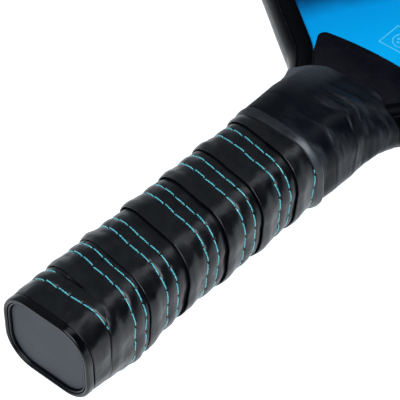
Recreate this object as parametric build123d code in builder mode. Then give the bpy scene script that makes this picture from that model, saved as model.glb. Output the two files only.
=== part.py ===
from build123d import *
from math import cos, floor, hypot, pi, radians, sin, tan
import os

# A pickleball paddle lying on its back, in millimetres.
# +Y runs from the butt to the head, +Z is the front face's normal, X is the width.
# The origin is the centre of the butt end, in the middle of the paddle's thickness.

# Blade: honeycomb core, bonding fleece, skins and printed films, from the middle out
blade_tip_y = 397.1
blade_half_width = 97.1
blade_crown = 4.0
shoulder_slope = 36.0
shoulder_base_y = 142.65
shoulder_fillet = 32.0
side_fillet = 60.0
tip_fillet = 62.0
core_half_thickness = 6.35
fleece_thickness = 0.15
skin_thickness = 0.5
film_thickness = 0.15
cell_pitch = 18.0
cell_wall = 0.8
cell_columns = 12
cell_rows = 27
core_rim = 0.8
smallest_cell_area = 12.0
outline_window = 300.0
pick_margin = 0.5

# Edge guard, a channel round the blade, and the tape that bonds it
tape_thickness = 0.3
tape_half_height = 6.0
guard_wall = 2.6
guard_lip = 5.6
guard_half_height = 8.2
channel_gap = 0.05
guard_round = 3.0
guard_start_y = 141.0

# Throat window that the printed film leaves open
film_start_y = 149.0
film_inset = 0.5
window_top_y = 165.4
window_crown = 2.4
window_shoulder_y = 160.0
window_half_width = 24.3
window_base_half_width = 18.4
window_round = 2.5

# Handle, seen along Y as rounded rectangles: half width, half thickness, corner radius
tang_half_width = 15.3
handle_section = (15.6, 12.2, 7.2)
cushion_section = (17.0, 13.2, 9.5)
wrap_section = (18.0, 14.2, 11.1)
handle_start_y = 3.6
ramp_start_y = 126.0
ramp_end_y = 140.8
ramp_end_z = 8.4

# Butt cap with its inlaid end badge and the staples that hold its skirt
cap_section = (17.7, 14.8, 10.8)
cap_rim_y = 3.0
cap_floor_y = 2.2
cap_skirt_y = 14.0
cap_round = 0.9
badge_section = (15.2, 12.8, 8.9)
badge_face_y = 1.4
badge_gap = 0.1
staple_y = 8.5
staple_wire = 0.6
staple_crown = 10.0
staple_leg = 5.0

# Grip: stitched wrap over a cushion, with two rows of stitches that climb round it
wrap_end_y = 116.0
stitch_row_spacing = 4.8
stitch_length = 4.4
stitch_pitch = 5.2
stitch_radius = 0.3
stitch_clearance = 0.03
row_heights = (12.0, 24.8, 39.5, 58.2, 75.6, 92.9, 110.0)
row_start_turn = -0.1
row_end_y = 105.5
slope_span = 0.02

# Collar over the end of the grip
finishing_tape_section = (18.15, 14.35, 11.25)
finishing_tape_start_y = 108.0
collar_section = (19.4, 15.4, 12.2)
collar_start_y = 106.8
collar_end_y = 111.8
collar_round = 1.5
sleeve_skin = 0.8
sleeve_sections = (
    (111.9, 19.3, 15.4, 12.2),
    (117.0, 19.3, 15.4, 12.2),
    (123.0, 19.4, 15.3, 12.0),
    (130.0, 19.8, 14.4, 10.5),
    (137.0, 21.2, 12.4, 8.0),
    (142.5, 24.1, 10.4, 4.6),
    (147.0, 27.9, 9.3, 3.2),
)

fleece_z = core_half_thickness + fleece_thickness
skin_z = fleece_z + skin_thickness
film_z = skin_z + film_thickness
channel_half_height = film_z + channel_gap

os.makedirs("parts", exist_ok=True)


def blade_outline(grow=0.0, start_y=None):
    """Outline of the core with its tang, grown by an offset and cut off below start_y."""
    side_y = shoulder_base_y + (blade_half_width - tang_half_width) * tan(radians(shoulder_slope))
    tip_y = blade_tip_y - blade_crown
    with BuildSketch() as outline:
        with BuildLine():
            Polyline(
                (-blade_half_width, tip_y),
                (-blade_half_width, side_y),
                (-tang_half_width, shoulder_base_y),
                (-tang_half_width, handle_start_y),
                (tang_half_width, handle_start_y),
                (tang_half_width, shoulder_base_y),
                (blade_half_width, side_y),
                (blade_half_width, tip_y),
            )
            ThreePointArc((blade_half_width, tip_y), (0, blade_tip_y), (-blade_half_width, tip_y))
        make_face()
        corners = ((shoulder_base_y, shoulder_fillet), (side_y, side_fillet), (tip_y, tip_fillet))
        for corner_y, corner_radius in corners:
            corner_pair = outline.vertices().filter_by_position(
                Axis.Y, corner_y - pick_margin, corner_y + pick_margin
            )
            fillet(corner_pair, radius=corner_radius)
        if grow:
            offset(amount=grow, kind=Kind.INTERSECTION, mode=Mode.REPLACE)
        if start_y is not None:
            with Locations((0, start_y)):
                Rectangle(
                    outline_window,
                    outline_window,
                    align=(Align.CENTER, Align.MIN),
                    mode=Mode.INTERSECT,
                )
    return outline.sketch


def section(sizes, grow=0.0):
    """Rounded rectangle of a handle section, as a sketch on XZ seen from the butt."""
    half_width, half_thickness, corner = sizes
    width = 2 * (half_width + grow)
    with BuildSketch() as shape:
        RectangleRounded(width, 2 * (half_thickness + grow), corner + grow)
    return shape.sketch


def across_y(y):
    """Sketch plane that faces the head, at a distance y from the butt end."""
    return Plane(origin=(0, y, 0), x_dir=(-1, 0, 0), z_dir=(0, 1, 0))


def label_and_save(part, name):
    part.label = name
    export_step(part, f"parts/{name}.step")


def save_mirrored(part, front_name, rear_name):
    """Saves a front piece and its mirror image on the rear face."""
    label_and_save(part, front_name)
    label_and_save(mirror(part, about=Plane.XY, mode=Mode.PRIVATE), rear_name)


# Honeycomb core: hexagonal cells, cut off inside a closed rim
core_face = blade_outline()
cell_area = blade_outline(grow=-core_rim)
with BuildSketch() as cells:
    with Locations((0, blade_tip_y / 2)):
        with HexLocations(cell_pitch / 2, cell_columns, cell_rows):
            RegularPolygon((cell_pitch - cell_wall) / 2, 6, major_radius=False)
    add(cell_area, mode=Mode.INTERSECT)
open_cells = [cell for cell in cells.faces() if cell.area > smallest_cell_area]
with BuildPart() as honeycomb_core:
    with BuildSketch(Plane.XY.offset(-core_half_thickness)):
        add(core_face)
        add(open_cells, mode=Mode.SUBTRACT)
    extrude(amount=2 * core_half_thickness)
label_and_save(honeycomb_core.part, "honeycomb_core")

# Bonding fleece and structural skin on each face of the core
with BuildPart() as front_fleece:
    with BuildSketch(Plane.XY.offset(core_half_thickness)):
        add(core_face)
    extrude(amount=fleece_thickness)
save_mirrored(front_fleece.part, "front_fleece", "rear_fleece")

with BuildPart() as front_skin:
    with BuildSketch(Plane.XY.offset(fleece_z)):
        add(core_face)
    extrude(amount=skin_thickness)
save_mirrored(front_skin.part, "front_skin", "rear_skin")

# Printed film over the hitting area, with an arched window at the throat
film_face = blade_outline(grow=-film_inset, start_y=film_start_y)
arch_spring_y = window_top_y - window_crown
with BuildSketch() as throat_window:
    with BuildLine():
        Polyline(
            (-window_half_width, arch_spring_y),
            (-window_half_width, window_shoulder_y),
            (-window_base_half_width, film_start_y),
            (window_base_half_width, film_start_y),
            (window_half_width, window_shoulder_y),
            (window_half_width, arch_spring_y),
        )
        ThreePointArc(
            (window_half_width, arch_spring_y),
            (0, window_top_y),
            (-window_half_width, arch_spring_y),
        )
    make_face()
    arch_corners = throat_window.vertices().filter_by_position(
        Axis.Y, arch_spring_y - pick_margin, window_top_y
    )
    fillet(arch_corners, radius=window_round)
with BuildPart() as front_film:
    with BuildSketch(Plane.XY.offset(skin_z)):
        add(film_face)
        add(throat_window.sketch, mode=Mode.SUBTRACT)
    extrude(amount=film_thickness)
save_mirrored(front_film.part, "front_film", "rear_film")

# Tape strip between the core's edge and the guard
tape_outer = blade_outline(grow=tape_thickness, start_y=guard_start_y)
with BuildPart() as edge_tape:
    with BuildSketch(Plane.XY.offset(-tape_half_height)):
        add(tape_outer)
        add(core_face, mode=Mode.SUBTRACT)
    extrude(amount=2 * tape_half_height)
label_and_save(edge_tape.part, "edge_tape")

# Edge guard: a rounded channel from one side of the neck round to the other
guard_outer = blade_outline(grow=tape_thickness + guard_wall, start_y=guard_start_y)
lip_edge = blade_outline(grow=-guard_lip)
with BuildPart() as edge_guard:
    with BuildSketch(Plane.XY.offset(-guard_half_height)):
        add(guard_outer)
    extrude(amount=2 * guard_half_height)
    rim_edges = edge_guard.faces().filter_by(Axis.Z).edges()
    neck_edges = rim_edges.filter_by_position(
        Axis.Y, guard_start_y - pick_margin, guard_start_y + pick_margin
    )
    fillet(rim_edges - neck_edges, radius=guard_round)
    with BuildSketch(Plane.XY.offset(-guard_half_height)):
        add(lip_edge)
    extrude(amount=2 * guard_half_height, mode=Mode.SUBTRACT)
    with BuildSketch(Plane.XY.offset(-channel_half_height)):
        add(blade_outline(grow=tape_thickness))
    extrude(amount=2 * channel_half_height, mode=Mode.SUBTRACT)
label_and_save(edge_guard.part, "edge_guard")

# Staples of the butt cap: a crown across the face and two legs into the handle scale
staple_crown_z = handle_section[1] + staple_wire / 2
with BuildPart() as front_staple:
    with Locations((0, staple_y, staple_crown_z)):
        Box(staple_crown, staple_wire, staple_wire)
    leg_x = (staple_crown - staple_wire) / 2
    leg_top = staple_crown_z + staple_wire / 2
    with Locations((-leg_x, staple_y, leg_top), (leg_x, staple_y, leg_top)):
        Box(staple_wire, staple_wire, staple_leg, align=(Align.CENTER, Align.CENTER, Align.MAX))
rear_staple = mirror(front_staple.part, about=Plane.XY, mode=Mode.PRIVATE)
with BuildPart() as cap_staples:
    add(front_staple.part)
    add(rear_staple)
label_and_save(cap_staples.part, "cap_staples")

# Handle scales: a pair of shells that thicken the tang, ramped down to the throat
with BuildPart() as front_scale:
    with BuildSketch(across_y(handle_start_y)):
        add(section(handle_section))
    extrude(amount=ramp_end_y - handle_start_y)
    with BuildSketch(Plane.YZ.offset(-handle_section[0])):
        with BuildLine():
            Polyline(
                (ramp_start_y, handle_section[1]),
                (ramp_end_y, ramp_end_z),
                (ramp_end_y, handle_section[1]),
                close=True,
            )
        make_face()
    extrude(amount=2 * handle_section[0], mode=Mode.SUBTRACT)
    split(bisect_by=Plane.XY.offset(skin_z), keep=Keep.TOP)
    add(front_staple.part, mode=Mode.SUBTRACT)
save_mirrored(front_scale.part, "front_handle_scale", "rear_handle_scale")

# Butt cap: rim, floor and a thin skirt over the end of the handle
with BuildPart() as butt_cap:
    with BuildSketch(across_y(0)):
        add(section(cap_section))
    extrude(amount=cap_rim_y)
    fillet(butt_cap.faces().sort_by(Axis.Y)[0].edges(), radius=cap_round)
    with BuildSketch(across_y(cap_rim_y)):
        add(section(cushion_section))
    extrude(amount=cap_skirt_y - cap_rim_y)
    with BuildSketch(across_y(handle_start_y)):
        add(section(handle_section))
    extrude(amount=cap_skirt_y - handle_start_y, mode=Mode.SUBTRACT)
    with BuildSketch(across_y(0)):
        add(section(badge_section, grow=badge_gap))
    extrude(amount=cap_floor_y, mode=Mode.SUBTRACT)
    add(cap_staples.part, mode=Mode.SUBTRACT)
label_and_save(butt_cap.part, "butt_cap")

# End badge, a plain plate bonded in the cap's recess
with BuildPart() as end_badge:
    with BuildSketch(across_y(badge_face_y)):
        add(section(badge_section))
    extrude(amount=cap_floor_y - badge_face_y)
label_and_save(end_badge.part, "end_badge")


def sleeve_between(start_y, end_y, outer, inner):
    """Straight tube along Y with an outer and an inner section."""
    with BuildPart() as tube:
        with BuildSketch(across_y(start_y)):
            add(section(outer))
            add(section(inner), mode=Mode.SUBTRACT)
        extrude(amount=end_y - start_y)
    return tube.part


# Cushion and stitched wrap, drawn as tubes, and the tape that ends the wrap
grip_cushion = sleeve_between(cap_skirt_y, wrap_end_y, cushion_section, handle_section)
label_and_save(grip_cushion, "grip_cushion")
grip_wrap = sleeve_between(cap_rim_y, wrap_end_y, wrap_section, cushion_section)
label_and_save(grip_wrap, "grip_wrap")
finishing_tape = sleeve_between(
    finishing_tape_start_y, collar_end_y, finishing_tape_section, wrap_section
)
label_and_save(finishing_tape, "finishing_tape")


def around_grip(distance, clearance):
    """Point and outward normal on the wrap, measured from the top centre towards -X."""
    half_width, half_thickness, corner = wrap_section
    flat = half_width - corner
    side = half_thickness - corner
    bend = pi / 2 * corner
    radius = corner + clearance
    stretches = (
        (flat, (0, side), pi / 2, (-1, 0)),
        (bend, (-flat, side), pi / 2, None),
        (2 * side, (-flat, side), pi, (0, -1)),
        (bend, (-flat, -side), pi, None),
        (2 * flat, (-flat, -side), 3 * pi / 2, (1, 0)),
        (bend, (flat, -side), 3 * pi / 2, None),
        (2 * side, (flat, -side), 2 * pi, (0, 1)),
        (bend, (flat, side), 0, None),
        (flat, (flat, side), pi / 2, (-1, 0)),
    )
    left = distance % grip_girth
    for length, centre, angle, heading in stretches:
        if left <= length:
            break
        left -= length
    if heading is None:
        angle += left / corner
        heading = (0, 0)
    x = centre[0] + heading[0] * left + radius * cos(angle)
    z = centre[1] + heading[1] * left + radius * sin(angle)
    return x, z, cos(angle), sin(angle)


grip_girth = 4 * (wrap_section[0] + wrap_section[1]) - (8 - 2 * pi) * wrap_section[2]


def row_height(turn):
    """Height of the butt-side row after a number of turns, from the heights at each turn."""
    step = min(max(floor(turn), 0), len(row_heights) - 2)
    rise = row_heights[step + 1] - row_heights[step]
    return row_heights[step] + rise * (turn - step)


def stitch_row(shift):
    """One thread: short straight stitches laid on the wrap along a climbing line."""
    places = []
    distance = row_start_turn * grip_girth
    height = row_height(row_start_turn) + shift
    while height < row_end_y:
        turn = distance / grip_girth
        rise = row_height(turn + slope_span / 2) - row_height(turn - slope_span / 2)
        climb = rise / (slope_span * grip_girth)
        x, z, normal_x, normal_z = around_grip(distance, stitch_radius + stitch_clearance)
        along = (-normal_z, climb, normal_x)
        places.append(Plane(origin=(x, height, z), x_dir=(normal_x, 0, normal_z), z_dir=along))
        distance += stitch_pitch / hypot(1, climb)
        height = row_height(distance / grip_girth) + shift
    with BuildPart() as row:
        with Locations(*places):
            Cylinder(stitch_radius, stitch_length)
    return row.part


label_and_save(stitch_row(0), "butt_side_stitching")
label_and_save(stitch_row(stitch_row_spacing), "head_side_stitching")

# Rubber collar: a rounded band, then a sleeve that flares and flattens over the throat
with BuildPart() as collar_band:
    with BuildSketch(across_y(collar_start_y)):
        add(section(collar_section))
    extrude(amount=collar_end_y - collar_start_y)
    end_edges = collar_band.faces().filter_by(Axis.Y).edges()
    fillet(end_edges, radius=collar_round)
    with BuildSketch(across_y(collar_start_y)):
        add(section(finishing_tape_section))
    extrude(amount=collar_end_y - collar_start_y, mode=Mode.SUBTRACT)
label_and_save(collar_band.part, "collar_band")


def sleeve_form(grow=0.0):
    """Solid lofted through the sleeve's sections, grown or shrunk by an offset."""
    with BuildPart() as form:
        for y, half_width, half_thickness, corner in sleeve_sections:
            with BuildSketch(across_y(y)):
                add(section((half_width, half_thickness, corner), grow=grow))
        loft()
    return form.part


sleeve_hollow = sleeve_form(grow=-sleeve_skin)
with BuildPart() as throat_sleeve:
    add(sleeve_form())
    add(sleeve_hollow, mode=Mode.SUBTRACT)
label_and_save(throat_sleeve.part, "throat_sleeve")
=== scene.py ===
import math

import bmesh
import bpy
import numpy as np
from mathutils import Matrix, Vector


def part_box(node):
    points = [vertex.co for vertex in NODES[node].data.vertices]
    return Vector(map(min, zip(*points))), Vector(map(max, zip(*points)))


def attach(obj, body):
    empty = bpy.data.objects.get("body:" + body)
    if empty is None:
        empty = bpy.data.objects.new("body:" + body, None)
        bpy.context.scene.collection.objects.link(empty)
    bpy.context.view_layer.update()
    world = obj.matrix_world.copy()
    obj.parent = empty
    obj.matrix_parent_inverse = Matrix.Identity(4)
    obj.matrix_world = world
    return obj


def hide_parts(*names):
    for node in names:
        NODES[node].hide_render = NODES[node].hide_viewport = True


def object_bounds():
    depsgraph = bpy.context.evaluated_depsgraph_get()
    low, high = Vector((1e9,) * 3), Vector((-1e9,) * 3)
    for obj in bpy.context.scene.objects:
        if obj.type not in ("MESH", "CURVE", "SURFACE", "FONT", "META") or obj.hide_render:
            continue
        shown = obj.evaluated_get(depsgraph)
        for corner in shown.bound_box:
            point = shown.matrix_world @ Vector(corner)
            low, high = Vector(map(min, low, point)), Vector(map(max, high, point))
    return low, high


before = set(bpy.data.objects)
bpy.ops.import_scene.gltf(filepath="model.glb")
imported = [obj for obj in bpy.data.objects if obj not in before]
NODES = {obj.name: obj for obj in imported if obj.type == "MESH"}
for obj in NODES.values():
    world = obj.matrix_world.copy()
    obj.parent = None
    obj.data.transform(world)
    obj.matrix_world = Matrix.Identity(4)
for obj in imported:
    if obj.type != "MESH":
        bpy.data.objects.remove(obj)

# A pickleball paddle seen from its butt end. Lengths here are in millimetres in the
# paddle's own frame, +Y from the butt to the head, and MM turns them into metres.
MM = 0.001
CAD_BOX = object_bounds()

# Handle sections, as in the CAD part: half width, half thickness, corner radius
GRIP_SECTION = (18.0, 14.2, 11.1)
CUSHION_SECTION = (17.0, 13.2, 9.5)
CAP_SECTION = (17.7, 14.8, 10.8)
BADGE_SECTION = (15.2, 12.8, 8.9)

# Lines of the wound tape, as (turn round the handle, height along Y): the visible edge of
# each turn, and the two rows of stitches beside it. Whole turns are at the top centre.
TAPE_EDGE = (
    (-0.8, 3.1), (0.0, 3.1), (0.5, 4.6), (0.72, 9.3), (0.82, 10.9), (0.91, 14.5),
    (1.0, 16.6), (1.1, 18.0), (2.0, 30.9), (3.0, 49.2), (4.0, 67.4), (5.0, 83.9),
    (6.0, 101.2), (7.0, 118.5),
)
ROW_A = (
    (-0.8, 12.3), (-0.1, 12.1), (0.1, 11.6), (0.25, 11.2), (0.45, 14.5), (0.72, 19.8),
    (1.0, 24.8), (2.0, 39.0), (3.0, 58.2), (4.0, 75.6), (5.0, 92.9), (6.0, 110.2),
    (7.0, 127.5),
)
ROW_B = (
    (-0.8, 16.9), (0.0, 16.9), (0.13, 16.2), (0.28, 16.0), (0.45, 19.2), (0.72, 24.6),
    (1.0, 29.4), (2.0, 43.7), (3.0, 63.1), (4.0, 80.6), (5.0, 97.8), (6.0, 115.0),
    (7.0, 132.3),
)
TAPE_START_TURN = -0.62
TAPE_END_TURN = 6.62
TAPE_MARGIN = 7.5
TAPE_THICKNESS = 0.62
TAPE_STEP = 0.45
STITCH_PITCH = 5.2
STITCH_LENGTH = 4.95
THREAD_RADIUS = 0.21
PLY_LAY = 2.6
SEED = 7


# ---------------------------------------------------------------- shapes in numbers
def smooth(low, high, value):
    """0 below low, 1 above high, and a smooth step between them."""
    t = np.clip((value - low) / (high - low), 0, 1)
    return t * t * (3 - 2 * t)


def bell(value, width):
    """1 at zero, falling off to nothing within a few widths."""
    return np.exp(-((value / width) ** 2))


def curve_through(knots, at):
    """Smooth value at each place, on a curve through (place, value) knots."""
    place, value = np.array(knots, float).T
    slope = np.gradient(value, place)
    k = np.clip(np.searchsorted(place, at, side="right") - 1, 0, len(place) - 2)
    span = place[k + 1] - place[k]
    t = (at - place[k]) / span
    start = (1 + 2 * t) * (1 - t) ** 2 * value[k] + t * (1 - t) ** 2 * span * slope[k]
    end = t * t * (3 - 2 * t) * value[k + 1] + t * t * (t - 1) * span * slope[k + 1]
    return start + end


def ripple(x, y, z, size, seed, waves=9):
    """Uneven waves in space about size across, between about -1 and 1."""
    rng = np.random.default_rng(seed)
    total = 0
    for _ in range(waves):
        way = rng.normal(size=3)
        way *= rng.uniform(0.6, 1.5) * 2 * math.pi / (size * np.linalg.norm(way))
        total = total + np.sin(x * way[0] + y * way[1] + z * way[2] + rng.uniform(0, 6.3))
    return total / waves * 2.2


def girth(sizes):
    """Length round a rounded rectangle."""
    half_width, half_thickness, corner = sizes
    return 4 * (half_width + half_thickness) - (8 - 2 * math.pi) * corner


def on_ring(share, sizes, lift=0.0):
    """x, z and outward normal on rounded rectangles, at a share of the way round from the
    top centre towards -X. sizes and lift may be arrays that go with share."""
    half_width, half_thickness, corner = sizes
    flat = half_width - corner
    side = half_thickness - corner
    bend = math.pi / 2 * corner
    zero = 0 * flat
    lengths = [flat, bend, 2 * side, bend, 2 * flat, bend, 2 * side, bend, flat]
    lengths = np.stack(np.broadcast_arrays(*lengths, share)[:-1])
    ends = np.cumsum(lengths, axis=0)
    left = np.mod(share, 1) * ends[-1]
    step = np.clip((left[None] >= ends).sum(axis=0), 0, 8)
    left = left - np.take_along_axis(ends - lengths, step[None], axis=0)[0]

    def pick(*values):
        spread = np.stack(np.broadcast_arrays(*values, left)[:-1])
        return np.take_along_axis(spread, step[None], axis=0)[0]

    centre_x = pick(zero, -flat, -flat, -flat, -flat, flat, flat, flat, flat)
    centre_z = pick(side, side, side, -side, -side, -side, -side, side, side)
    heading_x = pick(-1, 0, 0, 0, 1, 0, 0, 0, -1)
    heading_z = pick(0, 0, -1, 0, 0, 0, 1, 0, 0)
    angle = np.radians(pick(90, 90, 180, 180, 270, 270, 360, 360, 450) * 1.0)
    angle = angle + pick(0, 1, 0, 1, 0, 1, 0, 1, 0) * left / corner
    x = centre_x + heading_x * left + (corner + lift) * np.cos(angle)
    z = centre_z + heading_z * left + (corner + lift) * np.sin(angle)
    return x, z, np.cos(angle), np.sin(angle)


def grid_faces(rows, columns, join_rows=False, join_columns=False):
    """Quads of a grid of points numbered row by row, joined up at its ends if asked."""
    row = np.arange(rows if join_rows else rows - 1)
    column = np.arange(columns if join_columns else columns - 1)
    r, c = (a.ravel() for a in np.meshgrid(row, column, indexing="ij"))
    next_r = (r + 1) % rows
    next_c = (c + 1) % columns
    corners = (r * columns + c, r * columns + next_c, next_r * columns + next_c)
    return np.stack([*corners, next_r * columns + c], axis=1)


def fan(first, count, middle, flip=False):
    """Triangles that close a loop of points round a middle point."""
    ring = first + np.arange(count)
    after = first + (np.arange(count) + 1) % count
    pair = (after, ring) if flip else (ring, after)
    return np.stack([*pair, np.full(count, middle)], axis=1)


# ---------------------------------------------------------------- pieces
def make_piece(name, points, faces, material, replaced=(), sharp_angle=None):
    """A smooth-shaded mesh from points in millimetres, riding on the paddle's one body."""
    mesh = bpy.data.meshes.new(name)
    mesh.from_pydata((points * MM).tolist(), [], [f for block in faces for f in block.tolist()])
    mesh.validate()
    shape = bmesh.new()
    shape.from_mesh(mesh)
    bmesh.ops.recalc_face_normals(shape, faces=shape.faces)
    shape.to_mesh(mesh)
    shape.free()
    mesh.shade_smooth()
    if sharp_angle is not None:
        mesh.set_sharp_from_angle(angle=math.radians(sharp_angle))
    piece = bpy.data.objects.new(name, mesh)
    bpy.context.scene.collection.objects.link(piece)
    mesh.materials.append(material)
    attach(piece, "root")
    if replaced:
        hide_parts(*replaced)
    return piece


def finish_node(node, material):
    """Gives a CAD node that stays shown its material."""
    slots = NODES[node].data.materials
    slots.clear()
    slots.append(material)
    for polygon in NODES[node].data.polygons:
        polygon.material_index = 0


# ---------------------------------------------------------------- materials
class Shader:
    """A Principled material that is built up with a few node helpers."""

    def __init__(self, name, colour, roughness, **sockets):
        self.material = bpy.data.materials.new(name)
        self.material.use_nodes = True
        self.tree = self.material.node_tree
        self.surface = self.tree.nodes["Principled BSDF"]
        self.surface.inputs["Base Color"].default_value = (*colour, 1)
        self.surface.inputs["Roughness"].default_value = roughness
        for socket, value in sockets.items():
            self.surface.inputs[socket.replace("_", " ")].default_value = value
        self.place = self.tree.nodes.new("ShaderNodeTexCoord").outputs["Object"]
        self.bump_normal = None

    def link(self, source, target):
        self.tree.links.new(source, target)

    def node(self, kind, **settings):
        made = self.tree.nodes.new(kind)
        for key, value in settings.items():
            setattr(made, key, value)
        return made

    def stretched(self, scale):
        """Object coordinates scaled along X, Y and Z, so that a texture follows a direction."""
        mapping = self.node("ShaderNodeMapping")
        mapping.inputs["Scale"].default_value = scale
        self.link(self.place, mapping.inputs["Vector"])
        return mapping.outputs["Vector"]

    def noise(self, size, detail=3.0, rough=0.55, scale=(1, 1, 1)):
        """Noise with features about size millimetres across."""
        texture = self.node("ShaderNodeTexNoise")
        texture.inputs["Scale"].default_value = 1 / (size * MM)
        texture.inputs["Detail"].default_value = detail
        texture.inputs["Roughness"].default_value = rough
        self.link(self.stretched(scale), texture.inputs["Vector"])
        return texture.outputs["Fac"]

    def cells(self, size, feature="F1", scale=(1, 1, 1)):
        """Cells about size millimetres across, as their distance."""
        texture = self.node("ShaderNodeTexVoronoi", feature=feature)
        texture.inputs["Scale"].default_value = 1 / (size * MM)
        self.link(self.stretched(scale), texture.inputs["Vector"])
        return texture.outputs["Distance"]

    def ramp(self, value, low, high, start=0.0, end=1.0):
        """value carried from low..high to start..end, held at the ends."""
        spread = self.node("ShaderNodeMapRange", clamp=True)
        for key, number in (("From Min", low), ("From Max", high)):
            spread.inputs[key].default_value = number
        for key, number in (("To Min", start), ("To Max", end)):
            spread.inputs[key].default_value = number
        self.link(value, spread.inputs["Value"])
        return spread.outputs["Result"]

    def math(self, operation, first, second=0.0):
        """Result of a Math node on a socket and a number or another socket."""
        made = self.node("ShaderNodeMath", operation=operation)
        self.link(first, made.inputs[0])
        if isinstance(second, float):
            made.inputs[1].default_value = second
        else:
            self.link(second, made.inputs[1])
        return made.outputs["Value"]

    def blend(self, share, first, second):
        """Colour between first and second, each a colour or a socket."""
        mix = self.node("ShaderNodeMix", data_type="RGBA")
        self.link(share, mix.inputs["Factor"])
        for end, socket in ((first, mix.inputs["A"]), (second, mix.inputs["B"])):
            if isinstance(end, tuple):
                socket.default_value = (*end, 1)
            else:
                self.link(end, socket)
        return mix.outputs["Result"]

    def colour(self, source):
        self.link(source, self.surface.inputs["Base Color"])

    def roughness(self, source):
        self.link(source, self.surface.inputs["Roughness"])

    def bump(self, height, depth, strength=1.0):
        """Adds a bump whose height texture is depth millimetres deep."""
        made = self.node("ShaderNodeBump")
        made.inputs["Distance"].default_value = depth * MM
        made.inputs["Strength"].default_value = strength
        self.link(height, made.inputs["Height"])
        if self.bump_normal is not None:
            self.link(self.bump_normal, made.inputs["Normal"])
        self.bump_normal = made.outputs["Normal"]
        self.link(self.bump_normal, self.surface.inputs["Normal"])


def leather():
    """Black synthetic leather: semi-gloss, pebbled, a little greyer where it is handled."""
    skin = Shader("grip_leather", (0.002, 0.0025, 0.004), 0.3, Specular_IOR_Level=0.5)
    worn = skin.ramp(skin.noise(12.0, detail=3), 0.4, 0.7)
    skin.colour(skin.blend(worn, (0.0012, 0.0016, 0.0030), (0.0030, 0.0035, 0.0052)))
    skin.roughness(skin.ramp(skin.noise(6.0, detail=4, rough=0.6), 0.3, 0.7, 0.26, 0.40))
    skin.bump(skin.noise(4.2, detail=2), 0.15)
    skin.bump(skin.noise(0.9, detail=3, rough=0.6), 0.03, strength=0.8)
    skin.bump(skin.cells(0.40, feature="SMOOTH_F1"), 0.02, strength=0.8)
    return skin.material


def thread():
    """Teal spun thread with a soft sheen and darker plies."""
    spun = Shader("stitch_thread", (0.04, 0.42, 0.52), 0.3, Specular_IOR_Level=1.0)
    plies = spun.ramp(spun.noise(0.35, detail=4), 0.3, 0.7)
    spun.colour(spun.blend(plies, (0.02, 0.25, 0.33), (0.20, 0.78, 0.86)))
    spun.bump(spun.noise(0.16, detail=2), 0.03)
    return spun.material


def stretched_rubber(name, roughness, gloss):
    """Black rubber with soft, uneven marks that run round the handle, painted highlight streaks
    over its right ridge, and painted light as a paler patch where it is pulled over the guard's
    left end."""
    rubber = Shader(name, (0.007, 0.0095, 0.0135), roughness, Specular_IOR_Level=gloss)
    bands = rubber.noise(2.2, detail=4, rough=0.6, scale=(0.22, 1, 0.22))
    cloud = rubber.noise(9.0, detail=3)
    cloudy = rubber.ramp(cloud, 0.35, 0.7)
    shade = rubber.blend(cloudy, (0.0015, 0.0025, 0.0045), (0.0035, 0.0050, 0.0080))
    shade = rubber.blend(rubber.ramp(bands, 0.5, 0.78, 0, 0.4), shade, (0.009, 0.013, 0.018))
    apart = rubber.node("ShaderNodeSeparateXYZ")
    rubber.link(rubber.place, apart.inputs["Vector"])
    # Painted highlight: pale streaks over the right ridge stand in for light caught on the creases
    # of the windings there
    painted_ridge_highlight = rubber.ramp(rubber.noise(6.5, detail=2, scale=(0.35, 1, 0.35)), 0.46, 0.72)
    painted_ridge_highlight = rubber.math("MULTIPLY", painted_ridge_highlight, rubber.ramp(bands, 0.38, 0.66))
    painted_ridge_highlight = rubber.math("MULTIPLY", painted_ridge_highlight, rubber.ramp(apart.outputs["X"], -0.004, 0.008))
    shade = rubber.blend(painted_ridge_highlight, shade, (0.060, 0.067, 0.077))
    # Painted light: paler where the rubber tents over the left end of the guard, standing in for
    # that facet facing the lights
    towards_left = rubber.ramp(apart.outputs["X"], -0.002, -0.016)
    towards_head = rubber.ramp(apart.outputs["Y"], 0.122, 0.140)
    painted_left_light = rubber.math("MULTIPLY", towards_left, towards_head)
    painted_left_light = rubber.math("MULTIPLY", painted_left_light, rubber.ramp(bands, 0.3, 0.7, 0.7, 1))
    rubber.colour(rubber.blend(painted_left_light, shade, (0.075, 0.085, 0.100)))
    dulled = rubber.ramp(apart.outputs["X"], 0.010, -0.012, 0, 0.2)
    mottled = rubber.ramp(bands, 0.3, 0.7, roughness - 0.06, roughness + 0.06)
    rubber.roughness(rubber.math("ADD", dulled, mottled))
    rubber.bump(bands, 0.05, strength=0.6)
    rubber.bump(rubber.noise(4.0, detail=4, scale=(0.5, 1, 0.5)), 0.12)
    rubber.bump(rubber.noise(0.35, detail=3), 0.02)
    return rubber.material


def moulded(name, colour, roughness, gloss):
    """Black moulded polymer with a fine spark texture, faint flow marks and rubbed spots."""
    moulding = Shader(name, colour, roughness, Specular_IOR_Level=gloss)
    rubbed_and_painted_glare = moulding.ramp(moulding.noise(14.0, detail=6, rough=0.7), 0.5, 0.75)
    paler = tuple(1.6 * c for c in colour)
    moulding.colour(moulding.blend(rubbed_and_painted_glare, colour, paler))
    grain = moulding.noise(2.5, detail=5, rough=0.7)
    moulding.roughness(moulding.ramp(grain, 0.3, 0.7, roughness - 0.06, roughness + 0.09))
    moulding.bump(moulding.noise(0.25, detail=2), 0.012)
    return moulding.material


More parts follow.
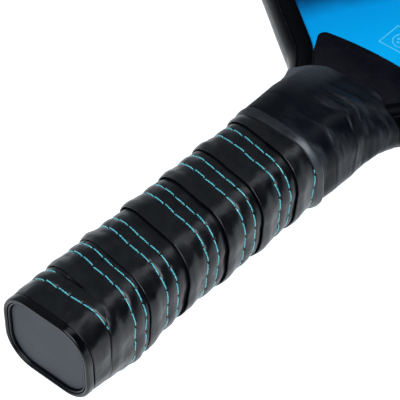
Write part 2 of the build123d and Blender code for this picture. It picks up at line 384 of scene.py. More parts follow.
def printed_film():
    """Satin blue print, bright at the throat and along the middle, deep blue at the sides."""
    film = Shader("printed_film", (0.0, 0.42, 0.92), 0.42, Specular_IOR_Level=0.05)
    apart = film.node("ShaderNodeSeparateXYZ")
    film.link(film.place, apart.inputs["Vector"])
    off_middle = film.math("ABSOLUTE", apart.outputs["X"])
    sideways = film.math("MULTIPLY", off_middle, 0.8)
    up_face = film.ramp(apart.outputs["Y"], 0.150, 0.200, 0, 0.0225)
    away = film.math("ADD", sideways, up_face)
    drift = film.ramp(film.noise(16.0, detail=2), 0.3, 0.7, -0.0012, 0.0012)
    away = film.math("ADD", away, drift)
    deeper = film.blend(film.ramp(away, 0.010, 0.031), (0.0, 0.45, 0.95), (0.0, 0.34, 0.82))
    shaded = film.blend(film.ramp(away, 0.031, 0.041), deeper, (0.0, 0.05, 0.16))
    speck = film.ramp(film.noise(0.5, detail=2), 0.4, 0.65, 0, 0.08)
    film.colour(film.blend(speck, shaded, (0.0, 0.44, 0.95)))
    film.roughness(film.ramp(film.noise(6.0, detail=4), 0.3, 0.7, 0.36, 0.48))
    film.bump(film.noise(0.45, detail=2), 0.008)
    film.bump(film.noise(3.0, detail=2), 0.02, strength=0.5)
    return film.material


def print_ink():
    """Lighter cyan ink of the printed marks."""
    ink = Shader("print_ink", (0.04, 0.58, 0.95), 0.36)
    patchy = ink.ramp(ink.noise(0.6, detail=3), 0.35, 0.65)
    ink.colour(ink.blend(patchy, (0.05, 0.56, 0.93), (0.16, 0.74, 0.97)))
    return ink.material


def fibre_laminate():
    """Black laminate with short fibres and fine specks, and painted glare: a paler ground towards
    the throat.
    """
    plate = Shader("skin_laminate", (0.004, 0.004, 0.007), 0.5, Specular_IOR_Level=0.06)
    fibres = plate.noise(0.55, detail=4, rough=0.7, scale=(1, 0.35, 1))
    specks = plate.ramp(fibres, 0.56, 0.72)
    patches = plate.ramp(plate.noise(7.0, detail=4), 0.4, 0.65)
    ground = plate.blend(patches, (0.0012, 0.0018, 0.0042), (0.0040, 0.0040, 0.0072))
    apart = plate.node("ShaderNodeSeparateXYZ")
    plate.link(plate.place, apart.inputs["Vector"])
    # Painted glare: the ground turns paler below the throat's end, standing in for light grazing
    # the rough laminate there
    rubbed_and_painted_glare = plate.ramp(apart.outputs["Y"], 0.144, 0.160, 1, 0)
    rubbed_and_painted_glare = plate.math("MULTIPLY", rubbed_and_painted_glare, plate.ramp(fibres, 0.4, 0.6, 0.5, 1))
    ground = plate.blend(rubbed_and_painted_glare, ground, (0.014, 0.012, 0.017))
    plate.colour(plate.blend(specks, ground, (0.015, 0.014, 0.020)))
    plate.roughness(plate.ramp(fibres, 0.3, 0.7, 0.42, 0.62))
    plate.bump(fibres, 0.05)
    return plate.material


def badge_plate():
    """Flat matt grey plate with a fine grain."""
    plate = Shader("badge_polymer", (0.031, 0.035, 0.044), 0.6, Specular_IOR_Level=0.35)
    drift = plate.ramp(plate.noise(11.0, detail=3), 0.3, 0.7)
    plate.colour(plate.blend(drift, (0.027, 0.030, 0.040), (0.035, 0.039, 0.0485)))
    plate.bump(plate.noise(0.22, detail=2), 0.012)
    return plate.material


def plain(name, colour, roughness, size, depth, metallic=0.0):
    """Finish of an inner piece: a tint that varies, and a surface grain of the given size."""
    inner = Shader(name, colour, roughness, Metallic=metallic)
    drift = inner.ramp(inner.noise(size * 4, detail=4), 0.3, 0.7)
    inner.colour(inner.blend(drift, tuple(0.85 * c for c in colour), colour))
    inner.bump(inner.noise(size, detail=3), depth)
    return inner.material


def planed_wood():
    """Light wood with its grain along the handle."""
    wood = Shader("scale_wood", (0.6, 0.46, 0.31), 0.6)
    grain = wood.noise(2.0, detail=5, rough=0.65, scale=(1, 0.08, 1))
    wood.colour(wood.blend(wood.ramp(grain, 0.35, 0.7), (0.66, 0.52, 0.36), (0.44, 0.31, 0.19)))
    wood.bump(grain, 0.08)
    return wood.material


# ---------------------------------------------------------------- wound grip
GIRTH = girth(GRIP_SECTION)
# Soft lumps and hollows of the padding: centre x, y, z, then width and height
LUMPS = (
    (15.5, 21.5, -10.5, 7.0, 1.7),
    (15.5, 46.0, -10.5, 6.0, -1.1),
    (-14.5, 88.0, 12.5, 5.0, 0.6),
)
# How much longer one turn of a climbing row of stitches is than the girth
ROW_STRETCH = 1.0125


def row_phase(turn):
    """Count of stitches along a row: whole numbers are the holes between stitches."""
    return turn * GIRTH * ROW_STRETCH / STITCH_PITCH


def tape_level(y, turn, edge, row_a, row_b, x, z):
    """Height of the tape's outer surface over the grip section, in millimetres."""
    from_edge = y - edge
    across_rib = (y - row_a) / (row_b - row_a)
    over_last_turn = 0.6 * smooth(0.4, 0.8, turn) * (1 - smooth(2.0, 6.0, from_edge))
    rib = 0.36 * np.clip(np.sin(math.pi * np.clip(across_rib, 0, 1)), 0, 1) ** 0.7
    bulge = 0.14 + 0.34 * np.clip(np.abs(x) / GRIP_SECTION[0], 0, 1) ** 4
    plain_band = bulge * np.clip(np.sin(math.pi * np.clip(from_edge / (row_a - edge), 0, 1)), 0, 1)
    draped = 0.5 * bell(turn - 0.93, 0.075) * (1 - smooth(0, 1.9, from_edge))
    seam = -0.24 * (bell(y - row_a, 0.55) + bell(y - row_b, 0.55))
    off_hole = row_phase(turn) - np.round(row_phase(turn))
    hole = bell(off_hole * STITCH_PITCH, 0.55)
    hole = -0.3 * hole * (bell(y - row_a, 0.5) + bell(y - row_b, 0.5))
    margin = -0.42 * smooth(2.0, 4.2, y - row_b)
    soft = 0.14 * ripple(x, y, z, 13, SEED) + 0.12 * ripple(x, y, z, 6.5, SEED + 1)
    pull = 0.035 * ripple(x * 0.6, y * 1.8, z * 0.6, 2.8, SEED + 2)
    for lump_x, lump_y, lump_z, width, height in LUMPS:
        off = np.sqrt((x - lump_x) ** 2 + (y - lump_y) ** 2 + (z - lump_z) ** 2)
        soft = soft + height * bell(off, width)
    calm = 1 - 0.7 * smooth(0.0, 1.5, -(from_edge - 1.0))
    return over_last_turn - draped + rib + plain_band + seam + hole + margin + (soft + pull) * calm


def wound_tape(material):
    """The grip tape: one closed strip that climbs round the handle, each turn lapped over
    the last one's far margin, quilted along its two rows of stitches."""
    turn = np.arange(TAPE_START_TURN, TAPE_END_TURN, TAPE_STEP / GIRTH)
    edge = curve_through(TAPE_EDGE, turn)
    row_a = curve_through(ROW_A, turn)
    row_b = curve_through(ROW_B, turn)
    # Columns across the tape, close together at its edge and at the seams: 0 to 1 from the
    # edge to the first row of stitches, 1 to 2 between the rows, 2 to 3 over the hidden margin
    near_edge = np.array([0, 0.08, 0.22, 0.5, 0.9, 1.3, 1.8, 2.4]) / 8.6
    to_row_a = np.concatenate([near_edge, np.linspace(0.34, 0.86, 9), [0.91, 0.955, 0.98, 1.0]])
    to_row_b = 1 + np.array([0.04, 0.09, 0.17, 0.28, 0.4, 0.5, 0.6, 0.72, 0.83, 0.91, 0.96, 1.0])
    to_margin = 2 + np.array([0.03, 0.07, 0.14, 0.24, 0.36, 0.5, 0.7, 1.0])
    across = np.concatenate([to_row_a, to_row_b, to_margin])
    lines = np.stack([edge, row_a, row_b, row_b + TAPE_MARGIN], axis=1)
    zone = np.clip(np.floor(across).astype(int), 0, 2)
    part = across - zone
    y = lines[:, zone] * (1 - part) + lines[:, zone + 1] * part
    turns = np.broadcast_to(turn[:, None], y.shape)
    x, z = on_ring(turns, GRIP_SECTION)[:2]
    level = tape_level(y, turns, edge[:, None], row_a[:, None], row_b[:, None], x, z)
    from_edge = y - edge[:, None]
    edge_roll = 0.22
    rolled = 1 - np.clip(from_edge / edge_roll, 0, 1)
    level = level - 0.5 * TAPE_THICKNESS * (1 - np.sqrt(1 - rolled**2))

    def surface(heights, places):
        out_x, out_z = on_ring(turns[:, : heights.shape[1]], GRIP_SECTION, heights)[:2]
        return np.stack([out_x, places, out_z], axis=2)

    outer = surface(level, y)
    # The underside needs only every third column, and starts a little inside the edge
    under_level = level[:, ::-3] - TAPE_THICKNESS
    under_level[:, -1:] = level[:, 4:5] - TAPE_THICKNESS
    inner = surface(under_level, y[:, ::-3])
    inner[:, -1, 1] += 0.12
    rows = np.concatenate([outer, inner], axis=1)
    count, around = rows.shape[:2]
    points = rows.reshape(-1, 3)
    ends = np.stack([rows[0].mean(axis=0), rows[-1].mean(axis=0)])
    faces = [
        grid_faces(count, around, join_columns=True),
        fan(0, around, len(points)),
        fan((count - 1) * around, around, len(points) + 1, flip=True),
    ]
    points = np.concatenate([points, ends])
    return make_piece("grip_tape", points, faces, material, ["grip_wrap"])


def stitch_row(name, row, node, first, last, material):
    """Short stitches of two-ply thread along a row, their ends drawn into the leather."""
    start, stop = (math.ceil(row_phase(t)) for t in (first, last))
    along = np.linspace(-1, 1, 17)
    around = np.linspace(0, 2 * math.pi, 10, endpoint=False)
    rng = np.random.default_rng(SEED)
    blocks, faces, used = [], [], 0
    for number in range(start, stop):
        phase = number + 0.5 + along * STITCH_LENGTH / 2 / STITCH_PITCH
        turn = phase * STITCH_PITCH / (GIRTH * ROW_STRETCH)
        lean = rng.uniform(-0.16, 0.16) + along * rng.uniform(-0.22, 0.22)
        y = curve_through(row, turn) + lean
        x, z = on_ring(turn, GRIP_SECTION)[:2]
        edge, row_a, row_b = (curve_through(k, turn) for k in (TAPE_EDGE, ROW_A, ROW_B))
        bed = tape_level(y, turn, edge, row_a, row_b, x, z)
        bed = bed.mean() + 0.35 * (bed - bed.mean())
        crown = bed + THREAD_RADIUS * 0.55 + rng.uniform(0, 0.06)
        lift = crown - (0.6 + crown - bed) * np.abs(along) ** 10
        x, z, normal_x, normal_z = on_ring(turn, GRIP_SECTION, lift)
        centre = np.stack([x, y, z], axis=1)
        tangent = np.gradient(centre, axis=0)
        tangent /= np.linalg.norm(tangent, axis=1)[:, None]
        up = np.stack([normal_x, 0 * x, normal_z], axis=1)
        side = np.cross(tangent, up)
        side /= np.linalg.norm(side, axis=1)[:, None]
        up = np.cross(side, tangent)
        twist = phase[:, None] * STITCH_PITCH * 2 * math.pi / PLY_LAY
        lobes = 1 + 0.16 * np.cos(2 * (around[None] - twist))
        taper = 1 - 0.45 * np.abs(along) ** 6
        radius = (THREAD_RADIUS * taper)[:, None] * lobes
        ring = (
            centre[:, None]
            + (radius * np.cos(around))[..., None] * side[:, None]
            + (radius * np.sin(around))[..., None] * up[:, None]
        )
        size = ring.shape[0] * ring.shape[1]
        blocks += [ring.reshape(-1, 3), centre[[0, -1]]]
        faces += [
            used + grid_faces(*ring.shape[:2], join_columns=True),
            fan(used, len(around), used + size),
            fan(used + size - len(around), len(around), used + size + 1, flip=True),
        ]
        used += size + 2
    return make_piece(name, np.concatenate(blocks), faces, material, [node])


# ---------------------------------------------------------------- butt cap
RING_STEPS = (10, 14, 4)


def ring_shares(steps):
    """Gives, for a section's sizes, shares of the way round with the same count of points
    on each flat and corner, so that rings of different sizes line up. steps are the points on
    half a flat, on a corner and on half a side."""
    half_flat, corner_steps, half_side = steps

    def shares(sizes):
        half_width, half_thickness, corner = sizes
        flat = half_width - corner
        side = half_thickness - corner
        bend = math.pi / 2 * corner
        stretches = [
            (flat, half_flat), (bend, corner_steps), (2 * side, 2 * half_side),
            (bend, corner_steps), (2 * flat, 2 * half_flat), (bend, corner_steps),
            (2 * side, 2 * half_side), (bend, corner_steps), (flat, half_flat),
        ]
        places, start = [], 0.0
        for length, count in stretches:
            places.append(start + length * np.arange(count) / count)
            start += length
        return np.concatenate(places) / start

    return shares


def lathe_rings(name, rings, material, replaced, cap_ends=False):
    """Closed body from rounded-rectangle rings of (sizes, y), joined in order."""
    shares = ring_shares(RING_STEPS)
    points = []
    for sizes, y in rings:
        x, z = on_ring(shares(sizes), sizes)[:2]
        points.append(np.stack([x, np.full_like(x, y), z], axis=1))
    points = np.stack(points)
    count, around = points.shape[:2]
    faces = [grid_faces(count, around, join_rows=not cap_ends, join_columns=True)]
    points = points.reshape(-1, 3)
    if cap_ends:
        middles = np.array([[0, rings[0][1], 0], [0, rings[-1][1], 0]], float)
        faces += [
            fan(0, around, len(points)),
            fan((count - 1) * around, around, len(points) + 1, flip=True),
        ]
        points = np.concatenate([points, middles])
    return make_piece(name, points, faces, material, replaced)


def grown(sizes, amount):
    """A section that is larger by an amount all round."""
    return tuple(s + amount for s in sizes)


def rounded(sizes, y, radius, turn_from, turn_to, steps=6):
    """Rings of a rounded edge about a centre ring at y, in degrees: 0 points outwards,
    -90 towards the butt and 90 towards the head."""
    rings = []
    for degrees in np.linspace(turn_from, turn_to, steps):
        angle = math.radians(degrees)
        rings.append((grown(sizes, radius * math.cos(angle)), y + radius * math.sin(angle)))
    return rings


def butt_cap(material, plate_material):
    """Moulded cap with a soft rim round the recess of a grey plate."""
    ridge_round = 0.3
    rim_round = 0.8
    skirt_end, seat = 13.9, 2.7
    inner_floor = 3.5
    ridge = grown(BADGE_SECTION, 0.15 + ridge_round)
    outer = grown(CAP_SECTION, -rim_round)
    skirt = grown(CUSHION_SECTION, -0.05)
    groove = grown(BADGE_SECTION, 0.95)
    rings = [(grown(CUSHION_SECTION, -1.2), skirt_end), (skirt, skirt_end), (skirt, seat)]
    rings += rounded(grown(CAP_SECTION, -0.15), 2.35, 0.25, 90, 0, steps=4)
    rings += rounded(outer, rim_round, rim_round, 0, -150, steps=10)
    rings += rounded(groove, 1.0, 0.1, 0, 180, steps=4)
    rings += rounded(ridge, 0.45 + ridge_round, ridge_round, 0, -180, steps=8)
    rings += [(grown(BADGE_SECTION, 0.10), 1.35), (grown(BADGE_SECTION, 0.08), 2.22)]
    rings += [(grown(BADGE_SECTION, -6), 2.25), (grown(BADGE_SECTION, -6), inner_floor)]
    rings += [(grown(CUSHION_SECTION, -1.25), inner_floor)]
    lathe_rings("cap_shell", rings, material, ["butt_cap"])
    face = 1.42
    plate = [(grown(BADGE_SECTION, -7), face), (grown(BADGE_SECTION, -2), face)]
    plate += rounded(grown(BADGE_SECTION, -0.22), face + 0.2, 0.2, -90, 0, steps=4)
    plate += [(BADGE_SECTION, 2.2), (grown(BADGE_SECTION, -7), 2.2)]
    lathe_rings(
        "cap_plate", plate, plate_material, ["end_badge"], cap_ends=True
    )


# ---------------------------------------------------------------- collar and sleeve
HANDLE_STATIONS = (
    # y, half width, half thickness and corner radius of the handle under the rubber
    (106.0, 18.2, 14.4, 11.3),
    (113.0, 18.8, 14.95, 11.8),
    (121.0, 18.9, 14.9, 11.5),
    (128.0, 18.8, 14.3, 10.5),
    (134.0, 18.2, 12.9, 8.6),
    (140.0, 16.4, 10.9, 6.0),
    (146.0, 13.0, 9.1, 4.0),
    (152.0, 10.0, 8.6, 4.0),
)
# Blunt ends of the edge guard that the rubber is pulled over
GUARD_END_STATIONS = (
    (106.0, 10.0, 6.0, 4.5),
    (126.0, 16.5, 7.6, 4.5),
    (133.0, 19.6, 8.4, 4.6),
    (138.0, 21.2, 8.6, 6.6),
    (142.0, 23.0, 8.6, 7.4),
    (147.0, 26.6, 8.6, 7.8),
    (152.0, 31.5, 8.6, 7.8),
)
HULL_ANGLES = np.linspace(0, 2 * math.pi, 1441)[:-1]
# How softly the rubber bridges from the handle to the guard's ends
HULL_BLEND = 0.25
RUBBER_AROUND = 360
RUBBER_HEIGHTS = np.arange(100.0, 155.0, 0.5)


def support(sizes):
    """Reach of a rounded rectangle in each direction of HULL_ANGLES."""
    half_width, half_thickness, corner = sizes
    across = np.abs(np.cos(HULL_ANGLES))
    upright = np.abs(np.sin(HULL_ANGLES))
    return (half_width - corner) * across + (half_thickness - corner) * upright + corner


def stretched_ring(y, shares):
    """x, z and outward normal of rubber stretched round the handle and the guard's ends at
    one height, at shares of the way round from the top centre towards -X."""
    reaches = []
    for stations in (HANDLE_STATIONS, GUARD_END_STATIONS):
        table = np.array(stations)
        sizes = [float(curve_through(table[:, [0, k]], np.array(y))) for k in (1, 2, 3)]
        reaches.append(support(sizes))
    top = np.maximum(*reaches)
    reach = top + HULL_BLEND * np.log(sum(np.exp((r - top) / HULL_BLEND) for r in reaches))
    slope = (np.roll(reach, -1) - np.roll(reach, 1)) / (HULL_ANGLES[2] - HULL_ANGLES[0])
    x = reach * np.cos(HULL_ANGLES) - slope * np.sin(HULL_ANGLES)
    z = reach * np.sin(HULL_ANGLES) + slope * np.cos(HULL_ANGLES)
    start = len(x) // 4
    x, z = (np.append(np.roll(line, -start), line[start]) for line in (x, z))
    gaps = np.append(0, np.cumsum(np.hypot(np.diff(x), np.diff(z))))
    at = shares * gaps[-1]
    ring_x, ring_z = np.interp(at, gaps, x), np.interp(at, gaps, z)
    run_x = np.roll(ring_x, -1) - np.roll(ring_x, 1)
    run_z = np.roll(ring_z, -1) - np.roll(ring_z, 1)
    length = np.hypot(run_x, run_z)
    return ring_x, ring_z, run_z / length, -run_x / length


def rubber_wall(name, y, level, thickness, material, node):
    """Closed tube of rubber: y and level are arrays of rows by points round the handle. Each
    point stands level above the stretched ring at its own height. The inside needs only
    every fourth row."""
    around = y.shape[1]
    shares = np.arange(around) / around
    rings = np.array([stretched_ring(height, shares) for height in RUBBER_HEIGHTS])
    step = RUBBER_HEIGHTS[1] - RUBBER_HEIGHTS[0]
    low = ((y - RUBBER_HEIGHTS[0]) / step).astype(int)
    low = np.clip(low, 0, len(RUBBER_HEIGHTS) - 2)
    part = (y - RUBBER_HEIGHTS[low]) / step
    column = np.broadcast_to(np.arange(around), y.shape)
    x, z, normal_x, normal_z = (
        rings[low, k, column] * (1 - part) + rings[low + 1, k, column] * part for k in range(4)
    )
    outer = np.stack([x + normal_x * level, y, z + normal_z * level], axis=2)
    under = level - thickness
    inner = np.stack([x + normal_x * under, y, z + normal_z * under], axis=2)[::-4]
    rows = np.concatenate([outer, inner])
    faces = [grid_faces(*rows.shape[:2], join_rows=True, join_columns=True)]
    return make_piece(name, rows.reshape(-1, 3), faces, material, [node])


def collar(material):
    """Rolled band at the end of the grip, fuller towards its right side."""
    along = np.linspace(0, 1, 36)[:, None]
    place = np.linspace(0, 2 * math.pi, RUBBER_AROUND, endpoint=False)[None]
    start = 107.0 + 0.2 * np.sin(place + 0.6)
    end = crease_height(place) + 0.6
    y = start + (end - start) * along
    climb = 1 - (1 - np.clip(along / 0.62, 0, 1)) ** 1.35
    bead = climb - 1.05 * np.clip((along - 0.62) / 0.38, 0, 1) ** 2.4
    ring = stretched_ring(109.0, place[0] / 2 / math.pi)
    x, z = (np.broadcast_to(line, y.shape) for line in ring[:2])
    uneven = 0.10 * ripple(x, y, z, 9, SEED + 8) + 0.05 * ripple(x, y, z, 3.5, SEED + 9)
    rolled_start = 0.75 * smooth(0, 0.07, along) * (1 - smooth(0.75, 1, along))
    fuller = 0.62 + 0.38 * smooth(-11, 3, x)
    level = -0.55 + rolled_start + (0.95 * fuller + uneven) * bead
    return rubber_wall("collar_bead", y, level, 0.6, material, "collar_band")


def crease_height(place):
    """Where the rolled band meets the sleeve: nearer the butt on the +X side."""
    return 110.6 + 1.3 * np.sin(place - 0.15)


# Windings of the sleeve: share of its length, step in millimetres, and the places round
# the handle where the line starts to climb and where the step is strongest
WINDINGS = (
    (0.25, 0.75, 0.4, 5.75),
    (0.47, 0.80, 1.9, 5.75),
    (0.60, 0.85, 2.4, 5.95),
    (0.76, 0.35, 3.0, 6.20),
)


def sleeve(material):
    """Stretched rubber over the throat: overlapped windings, puckers and a hugging edge."""
    along = np.linspace(0, 1, 200)[:, None]
    place = np.linspace(0, 2 * math.pi, RUBBER_AROUND, endpoint=False)[None]
    share = place / (2 * math.pi)
    start = crease_height(place)
    end_x = stretched_ring(145.0, share[0])[0][None]
    end = 148.0 + 0.045 * end_x - 5.6 * smooth(8, 21, np.abs(end_x))
    y = start + (end - start) * along
    level = 0.3 * np.ones_like(y)
    for height, step, turn, strongest in WINDINGS:
        line = height + 0.05 * np.sin(place + turn)
        lap = smooth(-0.012, 0.012, along - line) * (1 - smooth(0.015, 0.16, along - line))
        level = level + step * lap * (0.08 + 0.92 * np.cos((place - strongest) / 2) ** 16)
    ring = stretched_ring(128.0, share[0])
    x, z = (np.broadcast_to(line, y.shape) for line in ring[:2])
    level = level + 0.16 * ripple(x, y, z, 14, SEED + 5)
    level = level + 0.04 * ripple(x * 0.5, y, z * 0.5, 7, SEED + 6)
    on_side = np.abs(np.sin(place)) ** 4 * smooth(0.05, 0.4, along)
    level = level + 0.10 * ripple(x * 0.1, y * 1.5, z * 0.1, 4.5, SEED + 7) * on_side
    level = level - 0.7 * (1 - smooth(0, 0.02, along))
    level = level - 0.3 * (1 - np.sqrt(1 - np.clip((along - 0.985) / 0.015, 0, 1) ** 2))
    return rubber_wall(
        "throat_sleeve_skin", y, level, 0.7, material, "throat_sleeve"
    )


# ---------------------------------------------------------------- edge guard
BLADE_HALF_WIDTH = 97.1
BLADE_TIP_Y = 397.1
BLADE_CROWN = 4.0
TANG_HALF_WIDTH = 15.3
SHOULDER_SLOPE = 36.0
SHOULDER_BASE_Y = 142.65
SHOULDER_FILLET = 32.0
SIDE_FILLET = 60.0
TIP_FILLET = 62.0
GUARD_START_Y = 141.0
# Straight run of the edge below the guard's start, and how much of it the guard takes
NECK_RUN = 16
GUARD_TUCK = 5


def blade_edge():
    """Points and outward normals along the core's edge, from the left side of the neck
    round the tip to the right side."""
    run = BLADE_HALF_WIDTH - TANG_HALF_WIDTH
    side_y = SHOULDER_BASE_Y + run * math.tan(math.radians(SHOULDER_SLOPE))
    crown_radius = (BLADE_HALF_WIDTH**2 + BLADE_CROWN**2) / (2 * BLADE_CROWN)
    butt = Vector((TANG_HALF_WIDTH, 0))
    neck = Vector((TANG_HALF_WIDTH, SHOULDER_BASE_Y))
    side = Vector((BLADE_HALF_WIDTH, side_y))
    side_top = Vector((BLADE_HALF_WIDTH, BLADE_TIP_Y - BLADE_CROWN))
    crown_centre = Vector((0, BLADE_TIP_Y - crown_radius))
    points = [Vector((TANG_HALF_WIDTH, GUARD_START_Y - NECK_RUN))]
    bends = ((butt, neck, side, SHOULDER_FILLET), (neck, side, side_top, SIDE_FILLET))
    for before, corner, after, radius in bends:
        come = (corner - before).normalized()
        leave = (after - corner).normalized()
        half_turn = come.angle(leave) / 2
        reach = radius * math.tan(half_turn)
        sign = 1 if come.x * leave.y - come.y * leave.x > 0 else -1
        centre = corner - come * reach + Vector((-come.y, come.x)) * radius * sign
        spoke = corner - come * reach - centre
        for step in range(41):
            angle = sign * 2 * half_turn * step / 40
            points.append(centre + Matrix.Rotation(angle, 2) @ spoke)
    # The tip's corner meets the crown's arc, so its centre is at a distance from both
    centre_x = BLADE_HALF_WIDTH - TIP_FILLET
    drop = math.sqrt((crown_radius - TIP_FILLET) ** 2 - centre_x**2)
    centre = Vector((centre_x, crown_centre.y + drop))
    meet = math.atan2(centre.y - crown_centre.y, centre.x)
    for angle in np.linspace(0, meet, 44):
        points.append(centre + TIP_FILLET * Vector((math.cos(angle), math.sin(angle))))
    for angle in np.linspace(meet, math.pi / 2, 16)[1:]:
        points.append(crown_centre + crown_radius * Vector((math.cos(angle), math.sin(angle))))
    right = np.array([p[:] for p in points])
    left = right[:-1] * (-1, 1)
    path = np.concatenate([left, right[::-1]])
    gaps = np.r_[0, np.cumsum(np.linalg.norm(np.diff(path, axis=0), axis=1))]
    even = np.linspace(0, gaps[-1], 900)
    path = np.stack([np.interp(even, gaps, path[:, k]) for k in (0, 1)], axis=1)
    tangent = np.gradient(path, axis=0)
    tangent /= np.linalg.norm(tangent, axis=1)[:, None]
    normal = np.stack([-tangent[:, 1], tangent[:, 0]], axis=1)
    return path, normal


def edge_guard(material):
    """Moulded channel swept round the blade, with soft lips and a parting line."""
    path, normal = blade_edge()
    keep = path[:, 1] > GUARD_START_Y - GUARD_TUCK
    path, normal = path[keep], normal[keep]
    # Outward reach of the lip and the wall from the core's edge, the channel's half height
    # outside and inside, the reach of its floor, and the radii of lip and corner
    lip, wall, floor = -5.6, 2.9, 0.3
    height, inside = 8.2, 7.2
    soft, corner = 0.6, 7.0
    half = [(lip + 0.3, inside), (lip, inside + 0.15), (lip, height - soft)]
    for degrees in (165, 145, 120, 90):
        angle = math.radians(degrees)
        half.append((lip + soft + soft * math.cos(angle), height - soft + soft * math.sin(angle)))
    for degrees in np.linspace(90, 0, 24):
        angle = math.radians(degrees)
        bend = (corner * math.cos(angle), corner * math.sin(angle))
        half.append((wall - corner + bend[0], height - corner + bend[1]))
    # A fine raised parting line runs along the middle of the wall
    half += [(wall + 0.01, 0.5), (wall + 0.07, 0.15), (wall + 0.07, 0.0)]
    profile = half + [(n, -z) for n, z in reversed(half[:-1])]
    profile += [(floor, -inside), (floor, inside)]
    profile = np.array(profile)
    wave = np.arange(len(path)) * 0.013
    sway = 0.05 * np.sin(wave * 5) + 0.03 * np.sin(wave * 13 + 1)
    outward = profile[None, :, 0] + sway[:, None] * smooth(lip + 1, wall, profile[None, :, 0])
    x = path[:, :1] + normal[:, :1] * outward
    y = path[:, 1:] + normal[:, 1:] * outward
    z = np.broadcast_to(profile[None, :, 1], x.shape)
    rows = np.stack([x, y, z], axis=2)
    count, around = rows.shape[:2]
    points = rows.reshape(-1, 3)
    channel = around - 2
    end_faces = [
        np.array([[0, k, k + 1] for k in range(1, channel)]),
        np.array([[0, channel, channel + 1]]),
    ]
    last = (count - 1) * around
    faces = [grid_faces(count, around, join_columns=True)]
    faces += end_faces + [f[:, ::-1] + last for f in end_faces]
    return make_piece(
        "guard_rim", points, faces, material, ["edge_guard"], sharp_angle=50
    )


# ---------------------------------------------------------------- printed marks
def printed_marks(material):
    """A small square frame round a perforated ball, and two chevrons, on each face."""
    film_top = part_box("front_film")[1].z / MM
    thick = 0.02
    points, faces, used = [], [], 0

    def add_strip(outline, inner=None):
        """A thin plate on each face, with a hole if inner is given."""
        nonlocal used
        outer = np.array(outline, float)
        loops = [outer] if inner is None else [outer, np.array(inner, float)]
        count = len(outer)
        for side in (1, -1):
            flat = np.concatenate(loops)
            low = np.column_stack([flat, np.full(len(flat), side * film_top)])
            high = np.column_stack([flat, np.full(len(flat), side * (film_top + thick))])
            points.append(np.concatenate([low, high]))
            size = len(flat)
            k = np.arange(count)
            n = (k + 1) % count
            blocks = [np.stack([k, n, n + size, k + size], axis=1)]
            if inner is None:
                top = np.array([k + size])
                bottom = np.array([k[::-1]])
            else:
                m = k + count
                p = n + count
                blocks.append(np.stack([p, m, m + size, p + size], axis=1))
                top = np.stack([k + size, n + size, p + size, m + size], axis=1)
                bottom = np.stack([m, p, n, k], axis=1)
            blocks += [top, bottom]
            faces.extend((b if side > 0 else b[:, ::-1]) + used for b in blocks)
            used += 2 * size

    def disc(x, y, radius, steps=28):
        angle = np.linspace(0, 2 * math.pi, steps, endpoint=False)
        return np.stack([x + radius * np.cos(angle), y + radius * np.sin(angle)], axis=1)

    def square(x, y, half_x, half_y):
        return [(x - half_x, y - half_y), (x + half_x, y - half_y),
                (x + half_x, y + half_y), (x - half_x, y + half_y)]

    middle_y = 176.5
    line = 0.45
    add_strip(square(0, middle_y, 6.5, 5.65), square(0, middle_y, 6.5 - line, 5.65 - line))
    add_strip(disc(0, middle_y, 3.9), disc(0, middle_y, 3.9 - line))
    for ring, count in ((0, 1), (1.9, 6)):
        for k in range(count):
            angle = 2 * math.pi * k / count
            x = ring * math.cos(angle)
            y = middle_y + ring * math.sin(angle)
            add_strip(disc(x, y, 0.55, 14))
    reach, rise, stripe = 40, 24, 1.4
    for y in (196.0, 200.0):
        low = [(-reach, y + rise), (0, y), (reach, y + rise)]
        add_strip(low + [(x, height + stripe) for x, height in reversed(low)])
    return make_piece(
        "printed_marks", np.concatenate(points), faces, material, sharp_angle=30
    )


# ---------------------------------------------------------------- studio
# Metres from the paddle down to the floor, and half the floor's width
FLOOR_GAP = 0.25
FLOOR_REACH = 6.0
FLOOR_GLOW = 0.72
# The surround's strength is the first fade times the second, plus the third: it is bright
# near the horizon, more so past the paddle's right side, and glows dimly over its left. Each
# has the direction it runs along, where it starts and ends, and its strength there.
SURROUND = (
    ((0, 0, 1), (-0.05, 0.20, 1.0, 0.02)),
    ((0.72, 0.69, 0), (0.35, 0.88, 0.5, 2.0)),
    ((-0.95, 0.1, 0.3), (0.4, 1.0, 0.0, 0.32)),
)
LIGHTS_AIM = Vector((0, 0.11, 0))
# name, direction from LIGHTS_AIM, distance and sizes in metres, power in watts
LIGHTS = (
    ("strip_softbox", (0.03, 0.53, 0.85), 1.2, 0.46, 1.7, 3.7),
    ("front_softbox", (0.2, -0.6, 0.75), 1.3, 1.1, 0.9, 18.5),
)


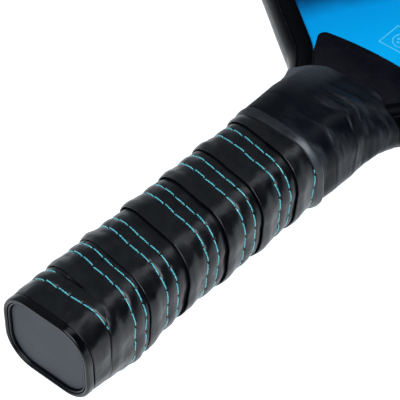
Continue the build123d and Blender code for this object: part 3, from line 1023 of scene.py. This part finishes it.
def studio():
    """Glowing white floor, two softboxes and a graded surround."""
    mesh = bpy.data.meshes.new("floor")
    size = FLOOR_REACH
    mesh.from_pydata(
        [(-size, -size, 0), (size, -size, 0), (size, size, 0), (-size, size, 0)],
        [], [(0, 1, 2, 3)],
    )
    floor = bpy.data.objects.new("floor", mesh)
    floor.location.z = CAD_BOX[0].z - FLOOR_GAP
    bpy.context.scene.collection.objects.link(floor)
    paper = Shader("floor_paper", (0.9, 0.9, 0.9), 0.9)
    paper.surface.inputs["Emission Color"].default_value = (0.95, 0.98, 1, 1)
    paper.surface.inputs["Emission Strength"].default_value = FLOOR_GLOW
    mesh.materials.append(paper.material)

    world = bpy.data.worlds.new("surround")
    bpy.context.scene.world = world
    world.use_nodes = True
    nodes = world.node_tree.nodes
    nodes["Background"].inputs["Color"].default_value = (0.80, 0.90, 1.0, 1)
    link = world.node_tree.links.new
    direction = nodes.new("ShaderNodeTexCoord").outputs["Generated"]
    strength = nodes.new("ShaderNodeMath")
    strength.operation = "MULTIPLY_ADD"
    for term, (way, fade_numbers) in enumerate(SURROUND):
        along = nodes.new("ShaderNodeVectorMath")
        along.operation = "DOT_PRODUCT"
        along.inputs[1].default_value = way
        link(direction, along.inputs[0])
        fade = nodes.new("ShaderNodeMapRange")
        fade.interpolation_type = "SMOOTHSTEP"
        for key, number in zip(("From Min", "From Max", "To Min", "To Max"), fade_numbers):
            fade.inputs[key].default_value = number
        link(along.outputs["Value"], fade.inputs["Value"])
        link(fade.outputs["Result"], strength.inputs[term])
    link(strength.outputs["Value"], nodes["Background"].inputs["Strength"])

    for name, way, distance, size_x, size_y, power in LIGHTS:
        lamp = bpy.data.lights.new(name, "AREA")
        lamp.shape = "RECTANGLE"
        lamp.size = size_x
        lamp.size_y = size_y
        lamp.energy = power
        lamp.color = (0.89, 0.95, 1.0)
        holder = bpy.data.objects.new(name, lamp)
        way = Vector(way).normalized()
        holder.location = LIGHTS_AIM + way * distance
        holder.rotation_euler = (-way).to_track_quat("-Z", "Y").to_euler()
        bpy.context.scene.collection.objects.link(holder)


VIEW_AIM = Vector((-0.6, 71.4, 9.0)) * MM
VIEW_DISTANCE = 0.6474
VIEW_AZIMUTH = -48.25
VIEW_ELEVATION = 44.99
VIEW_ROLL = -0.62
LENS = 184.3


def camera():
    """Long-lens camera over the butt end, looking down towards the head."""
    az, el = math.radians(VIEW_AZIMUTH), math.radians(VIEW_ELEVATION)
    back = Vector((math.cos(el) * math.cos(az), math.cos(el) * math.sin(az), math.sin(el)))
    lens = bpy.data.cameras.new("camera")
    lens.lens = LENS
    lens.sensor_width = 36
    lens.clip_end = 50
    eye = bpy.data.objects.new("camera", lens)
    eye.location = VIEW_AIM + back * VIEW_DISTANCE
    level = (-back).to_track_quat("-Z", "Y").to_matrix()
    eye.rotation_euler = (level @ Matrix.Rotation(math.radians(VIEW_ROLL), 3, "Z")).to_euler()
    bpy.context.scene.collection.objects.link(eye)
    bpy.context.scene.camera = eye


# ---------------------------------------------------------------- build
camera()
studio()
bpy.context.scene.view_settings.view_transform = "Standard"

THREAD = thread()
tape = wound_tape(leather())
stitch_row("butt_side_thread", ROW_A, "butt_side_stitching", -0.24, 6.05, THREAD)
stitch_row("head_side_thread", ROW_B, "head_side_stitching", 0.06, 5.4, THREAD)
butt_cap(moulded("cap_polymer", (0.0012, 0.0015, 0.0028), 0.18, 0.3), badge_plate())
collar(stretched_rubber("collar_rubber", 0.34, 0.6))
sleeve(stretched_rubber("sleeve_rubber", 0.38, 0.10))
edge_guard(moulded("guard_polymer", (0.0008, 0.0011, 0.0020), 0.22, 0.06))
printed_marks(print_ink())

FILM = printed_film()
LAMINATE = fibre_laminate()
FLEECE = plain("fleece", (0.78, 0.78, 0.76), 0.9, 0.4, 0.05)
WOOD = planed_wood()
NODE_FINISHES = {
    "front_film": FILM,
    "rear_film": FILM,
    "front_skin": LAMINATE,
    "rear_skin": LAMINATE,
    "front_fleece": FLEECE,
    "rear_fleece": FLEECE,
    "honeycomb_core": plain("core_polymer", (0.80, 0.81, 0.79), 0.45, 1.5, 0.05),
    "edge_tape": plain("bonding_tape", (0.66, 0.66, 0.62), 0.7, 0.8, 0.03),
    "front_handle_scale": WOOD,
    "rear_handle_scale": WOOD,
    "cap_staples": plain("staple_steel", (0.55, 0.55, 0.56), 0.32, 0.3, 0.01, metallic=1.0),
    "grip_cushion": plain("cushion_foam", (0.05, 0.05, 0.055), 0.85, 0.5, 0.08),
    "finishing_tape": plain("closing_tape", (0.03, 0.03, 0.033), 0.6, 0.7, 0.02),
}
for node, finish in NODE_FINISHES.items():
    finish_node(node, finish)
